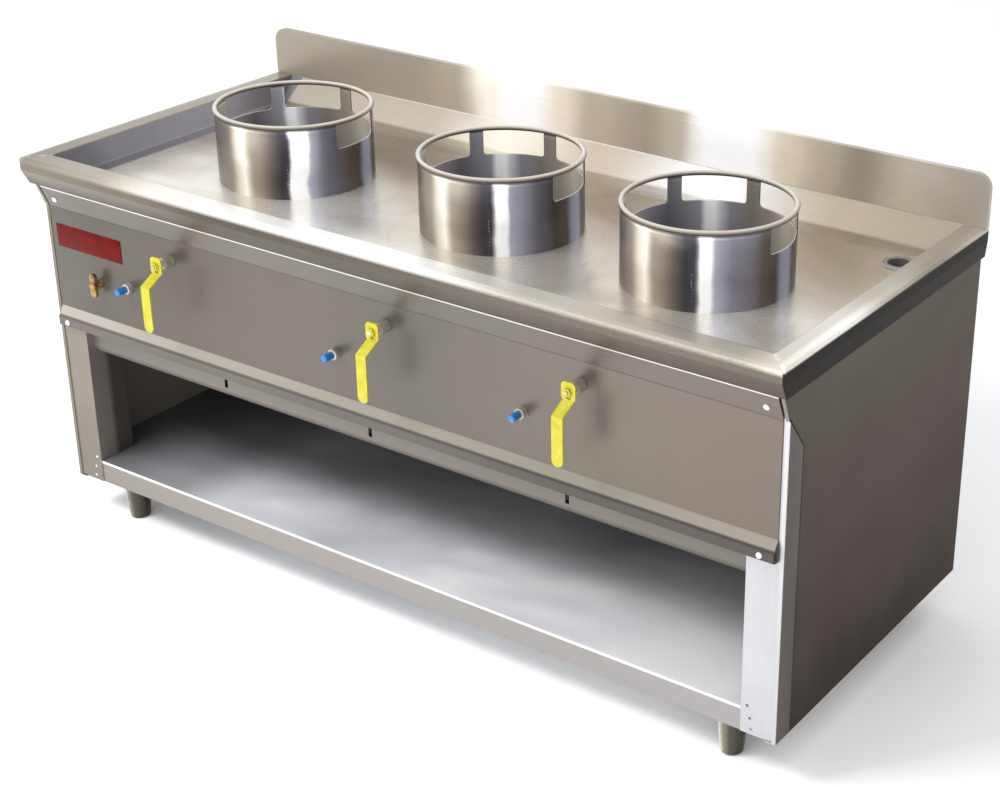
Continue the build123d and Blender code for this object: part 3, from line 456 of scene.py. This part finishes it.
def worktop_steel():
    """The pan, the rim's flat top, and its faces in front and at the right, darkened with painted shade."""
    sheet = Sheet("steel_top", metallic=0.7)
    place = sheet.place()
    x, y, z = (sheet.axis(name, place) for name in "XYZ")
    near = sheet.math("LESS_THAN", y, RIM_FRONT + ROLL)
    outer = sheet.math("GREATER_THAN", sheet.math("ABSOLUTE", x), HALF - ROLL_SIDE)
    flat = sheet.math("MAXIMUM", sheet.span(z, *FLAT), near)
    tone = sheet.mix(sheet.math("MAXIMUM", flat, outer), pan_light_and_reflections(sheet, x, y), ledge_highlights(sheet, x, y))
    # Painted shade on the rim's front face, darker still on its lower part
    face = along(sheet, "X", -HALF, HALF, RIM_FACE_SHADE_TONES)
    face = sheet.mix(sheet.span(z, RIM_TOP - 0.034, RIM_TOP - 0.058), face, "#544d46")
    # The face's painted shade begins below the roll, which keeps the ledge's painted highlight
    in_front = sheet.math("MULTIPLY", sheet.span(z, RIM_TOP - 0.004, RIM_TOP - 0.016), near)
    tone = sheet.mix(in_front, tone, face)
    # Painted shade on the rim's right end face
    end = sheet.math("GREATER_THAN", x, HALF - 0.004)
    end_face_shade = sheet.math("MULTIPLY", sheet.span(z, RIM_TOP - 0.004, RIM_TOP - 0.009), end)
    tone = sheet.mix(end_face_shade, tone, "#2b2825")
    finished(sheet, tone, GRAIN_X, (0.2, 0.38), depth=0.03, rounding=0.003, dark=0.95)
    for name, level in (("Specular Tint", 1.0), ("Specular IOR Level", 0.5)):
        sheet.put(sheet.shader.inputs[name], sheet.math("MULTIPLY_ADD", end, -0.42, level))
    return levelled(sheet, x, y, z)


def levelled(sheet, x, y, z):
    """The dished collars melt into the pan: their faces shade as if they lay flatter."""
    bent = sheet.shader.inputs["Normal"].links[0].from_socket
    low = sheet.span(z, RIM_TOP - 0.040, RIM_TOP - 0.046, 0.0, 0.75)
    behind = sheet.math("GREATER_THAN", y, RIM_FRONT + 0.04)
    between = sheet.math("LESS_THAN", sheet.math("ABSOLUTE", x), HALF - 0.04)
    low = sheet.math("MULTIPLY", low, sheet.math("MULTIPLY", behind, between))
    sheet.put(sheet.shader.inputs["Normal"], sheet.mix(low, bent, (0, 0, 1, 1)))
    return sheet.material


def splash_steel():
    sheet = Sheet("steel_splash")
    # Painted reflections and highlights along the backsplash; light tones are made less metallic so that they
    # stay light
    tone = along(sheet, "X", -HALF, HALF, SPLASH_REFLECTION_TONES, drift=0.08)
    milky(sheet, tone, 0.45)
    return finished(sheet, tone, GRAIN_X, (0.24, 0.4))


def shelf_steel():
    """The folded face has a painted highlight along its upper edge; the top has painted light along the front
    and painted shade to the back.
    """
    sheet = Sheet("steel_shelf", metallic=0.2)
    face = along(sheet, "X", -HALF, HALF, SHELF_FACE_SHADE_TONES)
    # Painted highlight along the face's upper edge
    face = sheet.mix(sheet.span(sheet.axis("Z"), SHELF_TOP - 0.006, SHELF_TOP - 0.004), face, "#ffffff")
    # Painted light on the top
    light = clouds(sheet, "#c6c7cd", "#dfe0e5", "#fafafc", scale=(2.0, 4.0, 2.5))
    # Painted shadow: its border reaches deeper into the opening towards the right
    reach = sheet.math("SUBTRACT", sheet.axis("Y"), sheet.span(sheet.axis("X"), -0.2, 0.8, 0.0, 0.20))
    depth = along(sheet, reach, SHELF_FACE_Y, BACK, SHELF_DEPTH_SHADE, drift=0.16)
    # Painted shade at the shelf's left end
    left = sheet.ramp(sheet.span(sheet.axis("X"), -0.82, -0.45), [(0.0, 0.22), (0.55, 0.5), (1.0, 1.0)])
    top = sheet.mix(1.0, sheet.mix(1.0, light, depth, "MULTIPLY"), left, "MULTIPLY")
    is_top = sheet.math("GREATER_THAN", sheet.axis("Y"), SHELF_FACE_Y)
    return finished(sheet, sheet.mix(is_top, face, top), GRAIN_X, (0.3, 0.48), depth=0.04)


def panel_shade_and_highlight(sheet):
    """Painted shade: dark brown-grey at the foot and olive-grey at the top, with a painted highlight on the
    folded front edge.
    """
    tone = along(sheet, "Z", BASE, RIM_TOP, PANEL_SHADE_TONES, drift=0.25)
    x = sheet.axis("X")
    inner = sheet.math("LESS_THAN", sheet.math("ABSOLUTE", x), SIDE_FACE - 0.001)
    tone = sheet.mix(inner, tone, "#8e877e")
    # Painted highlight on the folded front edge, brighter on the right panel
    front = sheet.mix(sheet.math("GREATER_THAN", x, 0.0), "#878174", "#c4c2c3")
    is_front = sheet.math("LESS_THAN", sheet.axis("Y"), BODY_FRONT + 0.001)
    is_flat = sheet.math("LESS_THAN", sheet.axis("Z"), CREASE)
    return sheet.mix(sheet.math("MULTIPLY", is_front, is_flat), tone, front)


def dull(sheet):
    """Less light mirrored at low angles, as on the dark outer sheets."""
    sheet.shader.inputs["Specular Tint"].default_value = (0.6, 0.56, 0.52, 1)
    sheet.shader.inputs["Specular IOR Level"].default_value = 0.2
    return sheet


def panel_steel():
    sheet = dull(Sheet("steel_panel", metallic=0.6))
    return finished(sheet, panel_shade_and_highlight(sheet), GRAIN_Z, (0.32, 0.5))


def overlay_steel():
    """The folded-over strip by the front edge, with a dark line along its free edge."""
    sheet = dull(Sheet("steel_overlay", metallic=0.6))
    place = sheet.place()
    y, z = sheet.axis("Y", place), sheet.axis("Z", place)
    slant = (SEAM_KNEE - SEAM_TIP).normalized()
    along_y = sheet.math("MULTIPLY", sheet.math("SUBTRACT", y, SEAM_KNEE.x), -slant.y)
    from_slant = sheet.math("MULTIPLY_ADD", sheet.math("SUBTRACT", z, SEAM_KNEE.y), slant.x, along_y)
    from_edge = sheet.math("MAXIMUM", from_slant, sheet.math("SUBTRACT", y, SEAM_KNEE.x))
    tone = sheet.mix(0.8, panel_shade_and_highlight(sheet), "#6a6562")
    dark = sheet.span(from_edge, -0.0042, -0.0030)
    return finished(sheet, sheet.mix(dark, tone, "#0f0d0c"), GRAIN_Z, (0.3, 0.46))


def fascia_steel():
    """A painted highlight on the hem, painted light on the leaning strip, the flat panel, and the lip below
    it with a painted highlight.
    """
    sheet = Sheet("steel_fascia", metallic=0.7)
    z = sheet.axis("Z")
    tone = along(sheet, "X", -HALF, HALF, FASCIA_TONES, drift=0.25)
    # Painted light on the leaning strip above the crease
    tone = sheet.mix(sheet.span(z, CREASE - 0.001, CREASE + 0.002), tone, sheet.mix(0.18, tone, "#a29c95"))
    # Painted shade in the crease
    crease = sheet.span(sheet.math("ABSOLUTE", sheet.math("SUBTRACT", z, CREASE)), 0.0022, 0.0008)
    tone = sheet.mix(sheet.math("MULTIPLY", crease, 0.5), tone, "#4c4742")
    # Painted highlight on the hem under the rim
    tone = sheet.mix(sheet.span(z, FASCIA_TOP - 0.0070, FASCIA_TOP - 0.0045), tone, "#f4efe8")
    # Painted highlight on the lip
    lip = along(sheet, "X", -HALF, HALF, LIP_HIGHLIGHT_TONES)
    tone = sheet.mix(sheet.span(z, LIP_TOP + 0.001, LIP_TOP - 0.001), tone, lip)
    # Painted shade on the band under the lip
    under = along(sheet, "X", -HALF, HALF, UNDER_LIP_SHADE_TONES)
    tone = sheet.mix(sheet.span(z, LIP_TOP - 0.0150, LIP_TOP - 0.0185), tone, under)
    return finished(sheet, tone, GRAIN_X, (0.28, 0.42))


def left_post_steel():
    """Olive-grey in front; the return into the opening has painted shade in its rear half."""
    sheet = Sheet("steel_post_left", metallic=0.6)
    front = clouds(sheet, "#7d766d", "#867f73", "#8f887b")
    inner = sheet.math("GREATER_THAN", sheet.facing("X"), 0.5)
    depth = sheet.span(sheet.axis("Y"), POST_FACE + 0.040, POST_FACE + 0.055)
    # Painted shade in the rear half of the return
    inside = sheet.mix(depth, "#908880", "#5a5450")
    return finished(sheet, sheet.mix(inner, front, inside), GRAIN_Z, (0.28, 0.42))


def rail_steel():
    """The recessed rail under the fascia, with painted shade along its lower fold."""
    sheet = Sheet("steel_rail", metallic=0.5)
    tone = along(sheet, "X", -HALF, HALF, RAIL_TONES)
    # Painted shade along the lower fold
    fold = sheet.span(sheet.axis("Z"), RAIL_LOW + 0.010, RAIL_LOW + 0.001)
    return finished(sheet, sheet.mix(fold, tone, "#4f4a45"), GRAIN_X, (0.28, 0.44))


def cast_iron():
    """Rough dark casting with a brown heat tint."""
    sheet = Sheet("cast_iron", metallic=0.4, roughness=0.7)
    lumps = sheet.noise(sheet.place(scale=(260, 260, 260)), detail=5)
    tint = sheet.noise(sheet.place(scale=(14, 14, 14)), detail=3)
    sheet.colour(sheet.ramp(tint, [(0.3, "#2b2826"), (0.55, "#3f3a36"), (0.75, "#5a4a3d")]))
    sheet.rough(sheet.span(lumps, 0.3, 0.7, 0.6, 0.85))
    sheet.bump(lumps, 0.5, 0.0008)
    return sheet.material


def pipe_paint():
    sheet = Sheet("pipe_black", metallic=0.0, roughness=0.45)
    dust = sheet.noise(sheet.place(scale=(30, 30, 30)), detail=4)
    sheet.colour(sheet.ramp(dust, [(0.3, "#262524"), (0.7, "#454340")]))
    sheet.rough(sheet.span(dust, 0.3, 0.7, 0.35, 0.6))
    sheet.bump(dust, 0.1, 0.0005)
    return sheet.material


def dipped_plastic(name, shade, lit, worn, rough):
    """Thick soft coating with a faint orange-peel surface and rubbed places."""
    sheet = Sheet(name, metallic=0.0, roughness=rough)
    rub = sheet.noise(sheet.place(scale=(45, 45, 45)), detail=4)
    peel = sheet.noise(sheet.place(scale=(500, 500, 500)), detail=2)
    sheet.colour(sheet.ramp(rub, [(0.28, shade), (0.5, lit), (0.78, worn)]))
    sheet.rough(sheet.span(rub, 0.3, 0.7, rough - 0.08, rough + 0.12))
    sheet.bump(peel, 0.15, 0.0003)
    return sheet.material


def polished_ring(number):
    """Tube polished round its axis, with painted reflections on both faces: upright bands of painted
    highlight and dark, and a rod rim with painted light and shade.
    """
    centre = middle(RING_NAMES[number])
    sheet = Sheet(f"steel_polished_{number + 1}")
    place = sheet.place(shift=(-centre.x, -centre.y, 0))
    x, y, z = (sheet.axis(name, place) for name in "XYZ")
    ripple = sheet.math("MULTIPLY", wander(sheet, (6, 6, 14)), math.radians(HIGHLIGHT_WANDER[number]))
    angle = sheet.math("ADD", sheet.math("ARCTAN2", y, x), ripple)
    angle = sheet.math("SUBTRACT", angle, math.radians(HIGHLIGHT_ANGLES[number]))
    # Painted reflections round the outer and inner faces
    outside = ring_tones(sheet, angle, outer_reflection_tones(HIGHLIGHT_HALF[number]))
    inside = ring_tones(sheet, sheet.math("SUBTRACT", angle, math.pi), INNER_REFLECTION_TONES)
    radius = sheet.math("SQRT", sheet.math("ADD", sheet.math("MULTIPLY", x, x), sheet.math("MULTIPLY", y, y)))
    is_inside = sheet.math("LESS_THAN", radius, RING_RADIUS - 0.002)
    tone = sheet.mix(is_inside, outside, inside)
    # Painted shadow just under the rod rim, with a painted highlight line below it
    rod_shadow_band = sheet.ramp(sheet.span(z, RING_TOP - 0.012, RING_TOP + 0.002), ROD_SHADOW_AND_HIGHLIGHT_STOPS, smooth=False)
    tone = sheet.mix(1.0, tone, rod_shadow_band, "MULTIPLY")
    # Painted light on top of the rod rim and painted shade under it
    rim = sheet.ramp(sheet.span(sheet.facing("Z"), -0.6, 1.0), ROD_SHADING_STOPS)
    tone = sheet.mix(sheet.math("GREATER_THAN", z, RING_TOP), tone, rim)
    hoops = sheet.noise(sheet.place(scale=(4, 4, 1100)), detail=3)
    sheet.colour(sheet.mix(1.0, tone, sheet.ramp(hoops, [(0.3, 0.97), (0.7, 1.0)]), "MULTIPLY"))
    # Light painted tones are made less metallic so that they stay light
    milky(sheet, tone, sheet.math("MULTIPLY_ADD", is_inside, -0.4, 0.6))
    sheet.rough(sheet.span(hoops, 0.3, 0.7, 0.18, 0.26))
    sheet.bump(hoops, 0.01, 0.0002)
    sheet.shader.inputs["Anisotropic"].default_value = 0.6
    tangent = sheet.tree.nodes.new("ShaderNodeTangent")
    tangent.direction_type = "RADIAL"
    tangent.axis = "Z"
    sheet.put(sheet.shader.inputs["Tangent"], tangent.outputs["Tangent"])
    return sheet.material


def ring_tones(sheet, angle, tones):
    """Tones at angles in degrees round a ring."""
    stops = [((at + 180) / 360, tone) for at, tone in tones]
    turn = sheet.math("WRAP", angle, math.pi, -math.pi)
    return sheet.ramp(sheet.span(turn, -math.pi, math.pi), stops, smooth=False)


def red_enamel():
    sheet = Sheet("plate_red", metallic=0.0, roughness=0.35)
    wear = sheet.noise(sheet.place(scale=(40, 40, 40)), detail=4)
    sheet.colour(sheet.ramp(wear, [(0.3, "#4e0604"), (0.7, "#620a07")]))
    sheet.rough(sheet.span(wear, 0.3, 0.7, 0.4, 0.55))
    sheet.bump(wear, 0.05, 0.0003)
    sheet.shader.inputs["Specular IOR Level"].default_value = 0.12
    return sheet.material


def plain_finish():
    """The finishes by slot name."""
    made = {"steel_top": worktop_steel(), "steel_fascia": fascia_steel(), "steel_shelf": shelf_steel()}
    made["steel_side"] = brushed_steel("steel_side", ("#5d5853", "#77716b", "#8d8781"), GRAIN_X)
    made["steel_bright"] = brushed_steel("steel_bright", ("#8f8d8a", "#a9a7a5", "#c2c1c0"), GRAIN_Z)
    made["nickel"] = brushed_steel("nickel", ("#a69d92", "#c2bbb1", "#d9d4cc"), GRAIN_Y, scale=(40, 40, 40))
    made["brass"] = brushed_steel("brass", ("#7b5c31", "#a98350", "#d8b987"), GRAIN_Y, scale=(60, 60, 60))
    made["copper"] = brushed_steel("copper", ("#7d4b33", "#a1664a", "#b77c5e"), GRAIN_X, scale=(20, 20, 20))
    made["cast_iron"] = cast_iron()
    made["pipe_black"] = pipe_paint()
    made["lever_yellow"] = dipped_plastic("lever_yellow", "#9c9518", "#aba41e", "#b8b148", 0.45)
    made["button_blue"] = dipped_plastic("button_blue", "#145290", "#1d68a8", "#4280ae", 0.35)
    made["plate_red"] = red_enamel()
    return made


def own_finish():
    """Finishes of nodes that differ from their slot's."""
    made = {name: polished_ring(number) for number, name in enumerate(RING_NAMES)}
    made["backsplash"] = splash_steel()
    # Painted light: the right post is made lighter than the left one
    made["front_post_right"] = brushed_steel("steel_post_right_painted_light", ("#b4b4b6", "#bfbfc2", "#cacacd"), GRAIN_Z)
    made["front_post_left"] = left_post_steel()
    made["overlay"] = overlay_steel()
    made["bead"] = brushed_steel("steel_bead", ("#55535a", "#77757e", "#a3a2ac"), GRAIN_Z, scale=(70, 70, 70))
    made["back_panel"] = brushed_steel("steel_back", ("#89837e", "#97908b", "#a59e98"), GRAIN_X, metallic=0.4)
    made["front_rail"] = rail_steel()
    made["side_panel_left"] = made["side_panel_right"] = panel_steel()
    pale = ("#dcdcdf", "#ededf0", "#fafafa")
    made["fascia_screws"] = brushed_steel("steel_screw", pale, GRAIN_X, metallic=0.3)
    feet = foot_steel()
    for name in ("foot_sockets", "foot_1", "foot_2", "foot_3", "foot_4"):
        made[name] = feet
    return made


FINISH = plain_finish() | own_finish()
SLOT_OF = {entry["node"]: entry["material_slot"] for entry in frame["record"]["subparts"]}


def finish_of(node):
    return FINISH.get(node) or FINISH[SLOT_OF[node]]


def cover(obj, material):
    obj.data.materials.clear()
    obj.data.materials.append(material)


def body_of(node):
    """The moving body that carries a node."""
    for body, members in frame["record"]["behaviour"]["bodies"].items():
        if node in members:
            return body


for node, obj in frame["nodes"].items():
    cover(obj, finish_of(node))


# Small pieces that ride on the sheets


def join_piece(name, shape, node, material):
    """A new piece from a mesh in the shared frame, carried by a node's body."""
    mesh = bpy.data.meshes.new(name)
    shape.to_mesh(mesh)
    shape.free()
    piece = bpy.data.objects.new(name, mesh)
    bpy.context.scene.collection.objects.link(piece)
    for face in mesh.polygons:
        face.use_smooth = True
    mesh.set_sharp_from_angle(angle=math.radians(35))
    cover(piece, material)
    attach(piece, body_of(node))
    return piece


def plate(points, thickness, bevel):
    """A flat plate with softened edges: corner points of one face, and its thickness as a vector."""
    shape = bmesh.new()
    face = shape.faces.new([shape.verts.new(point) for point in points])
    grown = bmesh.ops.extrude_face_region(shape, geom=[face])["geom"]
    moved = [item for item in grown if isinstance(item, bmesh.types.BMVert)]
    bmesh.ops.translate(shape, vec=thickness, verts=moved)
    bmesh.ops.recalc_face_normals(shape, faces=shape.faces)
    bmesh.ops.bevel(shape, geom=shape.edges[:], offset=bevel, segments=2, affect="EDGES", profile=0.5)
    return shape


def reshaped(node, lift):
    """A copy of a node's shape that stands for it, with each point raised by lift(height above its foot)."""
    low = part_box(node)[0].z
    shape = bmesh.new()
    shape.from_mesh(frame["nodes"][node].data)
    for vertex in shape.verts:
        vertex.co.z += lift(vertex.co.z - low)
    piece = join_piece(f"{node}_reshaped", shape, node, finish_of(node))
    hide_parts(node)


def rail_lift(rise):
    """The rail's lower fold and its notches move to where the photograph has them; its upper fold stays."""
    if rise < 0.005:
        return RAIL_LIFT
    return NOTCH_LIFT if rise < 0.060 else 0.0


def fascia_lift(rise):
    """The last fold under the fascia is shorter in the photograph."""
    return FOLD_LIFT if rise < 0.002 else 0.0


def badge():
    """The bare red plate at the left of the fascia."""
    (left, low), (right, high) = PLATE_LOW, PLATE_HIGH
    corners = [(left, low), (right, low), (right, high), (left, high)]
    shape = plate([(x, BODY_FRONT, z) for x, z in corners], Vector((0, -0.0012, 0)), 0.0004)
    join_piece("badge", shape, "control_fascia", FINISH["plate_red"])


def overlay(side):
    """The folded-over strip along a side panel's front edge."""
    front = BODY_FRONT + 0.0005
    outline = [(front, BASE + 0.0005), (front, CREASE), SEAM_TIP, SEAM_KNEE, (SEAM_KNEE.x, BASE + 0.0005)]
    shape = plate([(side * SIDE_FACE, y, z) for y, z in outline], Vector((side * 0.0008, 0, 0)), 0.0003)
    end = "right" if side > 0 else "left"
    join_piece(f"overlay_{end}", shape, f"side_panel_{end}", FINISH["overlay"])


def domes(name, node, places, size, material):
    """Flattened round heads at places, each with its own squash."""
    shape = bmesh.new()
    for index, (place, squash) in enumerate(places):
        size_here = size * (1 + 0.15 * math.sin(12.9 * index))
        turn = Matrix.Translation(place) @ Matrix.Diagonal((*squash, 1))
        bmesh.ops.create_uvsphere(shape, u_segments=12, v_segments=8, radius=size_here, matrix=turn)
    join_piece(name, shape, node, material)


def spot_marks(side):
    """Spot welds at the foot of a front post."""
    end = "right" if side > 0 else "left"
    places = [(Vector((side * x, POST_FACE, z)), (1, 0.35, 1)) for x, z in SPOTS]
    finish = FINISH["fascia_screws"] if side < 0 else FINISH["bead"]
    domes(f"spot_marks_{end}", f"front_post_{end}", places, 0.0028, finish)


def weld_beads(number):
    """A short upright bead on a ring's wall, beside its painted highlight."""
    name = RING_NAMES[number]
    centre = middle(name)
    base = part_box(name)[0].z
    places = []
    for step in range(BEADS):
        angle = math.radians(HIGHLIGHT_ANGLES[number] - 8.5 + 0.5 * math.sin(7.1 * step))
        spot = Vector((math.cos(angle), math.sin(angle), 0)) * (RING_RADIUS - 0.0006)
        places.append((Vector((centre.x, centre.y, base + 0.022 + 0.0068 * step)) + spot, (0.6, 0.6, 1.1)))
    domes(f"weld_beads_{number + 1}", name, places, 0.0023, FINISH["bead"])


badge()
reshaped("front_rail", rail_lift)
reshaped("control_fascia", fascia_lift)
for side in (-1, 1):
    overlay(side)
    spot_marks(side)
for number in range(3):
    weld_beads(number)


# Camera and light


def camera():
    """The photograph's view: focal length in pixels of a 1000 wide picture, angles and place."""
    focal, width = 1925.4158, 1000.0
    azimuth, elevation, roll = 0.58299528, 0.43259286, 0.010776446
    place = Vector((2.22303, -2.42191 + RIM_FRONT, 1.28484 + RIM_TOP))
    ahead = Vector((
        -math.sin(azimuth) * math.cos(elevation),
        math.cos(azimuth) * math.cos(elevation),
        -math.sin(elevation),
    ))
    right = ahead.cross(Vector((0, 0, 1))).normalized()
    up = right.cross(ahead)
    cam_x = math.cos(roll) * right + math.sin(roll) * up
    cam_y = -math.sin(roll) * right + math.cos(roll) * up
    data = bpy.data.cameras.new("camera")
    data.sensor_width = 36.0
    data.lens = focal / width * data.sensor_width
    data.shift_x = -0.14
    data.shift_y = -0.0335
    obj = bpy.data.objects.new("camera", data)
    turn = Matrix((cam_x, cam_y, -ahead)).transposed().to_4x4()
    obj.matrix_world = Matrix.Translation(place) @ turn
    bpy.context.scene.collection.objects.link(obj)
    bpy.context.scene.camera = obj


def softbox(name, place, target, size, power):
    """A soft lamp that lights the object and shows in no reflection."""
    data = bpy.data.lights.new(name, "AREA")
    data.shape = "RECTANGLE"
    data.size, data.size_y = size
    data.energy = power
    obj = bpy.data.objects.new(name, data)
    obj.location = place
    obj.rotation_euler = (Vector(target) - Vector(place)).to_track_quat("-Z", "Y").to_euler()
    obj.visible_glossy = False
    bpy.context.scene.collection.objects.link(obj)


DAYLIGHT = (0.97, 0.98, 1.0, 1)
WHITE = (1, 1, 1, 1)
FLOOR_SIZE = 60


def world():
    """White to the camera and in reflections, and an even soft light on the object."""
    scene_world = bpy.data.worlds.new("world")
    bpy.context.scene.world = scene_world
    scene_world.use_nodes = True
    tree = scene_world.node_tree
    tree.nodes.clear()
    seen = tree.nodes.new("ShaderNodeLightPath")
    shown = seen.outputs["Is Camera Ray"]
    for ray in ("Is Glossy Ray", "Is Transmission Ray"):
        either = tree.nodes.new("ShaderNodeMath")
        either.operation = "MAXIMUM"
        tree.links.new(shown, either.inputs[0])
        tree.links.new(seen.outputs[ray], either.inputs[1])
        shown = either.outputs[0]
    choose = tree.nodes.new("ShaderNodeMixShader")
    tree.links.new(shown, choose.inputs["Fac"])
    for socket, colour in zip(choose.inputs[1:], (DAYLIGHT, WHITE)):
        light = tree.nodes.new("ShaderNodeBackground")
        light.inputs["Color"].default_value = colour
        light.inputs["Strength"].default_value = 1.0
        tree.links.new(light.outputs[0], socket)
    out = tree.nodes.new("ShaderNodeOutputWorld")
    tree.links.new(choose.outputs[0], out.inputs["Surface"])


def floor():
    bpy.ops.mesh.primitive_plane_add(size=FLOOR_SIZE, location=(0, 0, FLOOR))
    plane = bpy.context.object
    plane.name = "floor"
    sheet = Sheet("floor_paint", metallic=0.0, roughness=0.9)
    sheet.shader.inputs["Base Color"].default_value = (0.97, 0.97, 0.97, 1)
    cover(plane, sheet.material)


camera()
world()
floor()
softbox("key", (-1.2, -2.1, 3.0), (0.1, -0.3, 0.2), (1.4, 0.9), 90)
softbox("low", (0.2, -2.7, 0.55), (0.1, 0.0, 0.15), (1.6, 0.3), 28)
softbox("fill", (2.8, -3.0, 1.8), (0, 0, 0.5), (0.9, 1.6), 6)

bpy.context.scene.view_settings.view_transform = "Standard"
